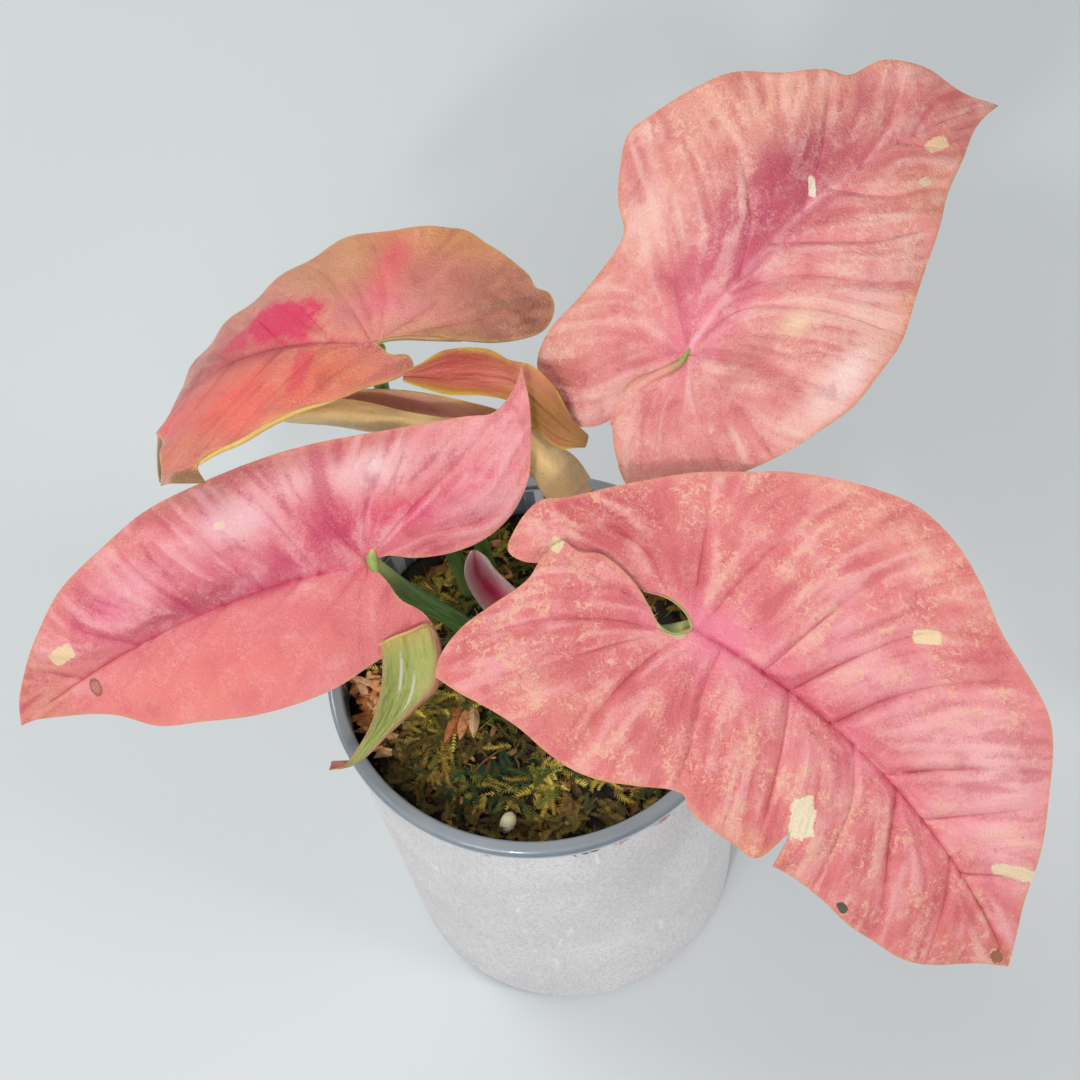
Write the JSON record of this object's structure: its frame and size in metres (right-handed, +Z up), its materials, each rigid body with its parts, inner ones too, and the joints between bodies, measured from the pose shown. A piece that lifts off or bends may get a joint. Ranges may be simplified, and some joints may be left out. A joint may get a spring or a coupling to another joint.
{
  "type": "potted arrowhead plant",
  "caption": "Young arrowhead plant with pink arrow-shaped leaves on slender green stems, rooted in a lipped grow pot set inside a plain tapered outer pot",
  "frame": {"origin": "Centre of the outer pot's flat foot, on the surface it stands on.", "axes": "+Z is up along the pots' axis. -Y is the side the picture was taken from, and +X is the picture's right. The pots are round about Z; the leaves reach further toward +X and -X than toward +Y and -Y."},
  "size_m": [0.2152, 0.1571, 0.1974],
  "materials": {
    "outer_pot": "matte",
    "grow_pot": "gloss",
    "potting_mix": "matte",
    "leaf_blade_upper_right": "satin",
    "leaf_blade_upper_left": "satin",
    "leaf_blade_left": "satin",
    "leaf_blade_front_right": "satin",
    "leaf_blade_furled": "satin",
    "leaf_blade_cupped": "satin",
    "leaf_blade_unfurling": "satin",
    "stem_upper_right": "satin",
    "stem_upper_left": "satin",
    "stem_left": "satin",
    "stem_front_right": "satin",
    "stem_furled": "satin",
    "stem_cupped": "satin",
    "stem_unfurling": "satin"
  },
  "bodies": {
    "root": {"outer_pot": "outer_pot", "grow_pot": "grow_pot", "potting_mix": "potting_mix", "leaf_blade_upper_right": "leaf_blade_upper_right", "leaf_blade_upper_left": "leaf_blade_upper_left", "leaf_blade_left": "leaf_blade_left", "leaf_blade_front_right": "leaf_blade_front_right", "leaf_blade_furled": "leaf_blade_furled", "leaf_blade_cupped": "leaf_blade_cupped", "leaf_blade_unfurling": "leaf_blade_unfurling", "stem_upper_right": "stem_upper_right", "stem_upper_left": "stem_upper_left", "stem_left": "stem_left", "stem_front_right": "stem_front_right", "stem_furled": "stem_furled", "stem_cupped": "stem_cupped", "stem_unfurling": "stem_unfurling"}
  },
  "joints": []
}
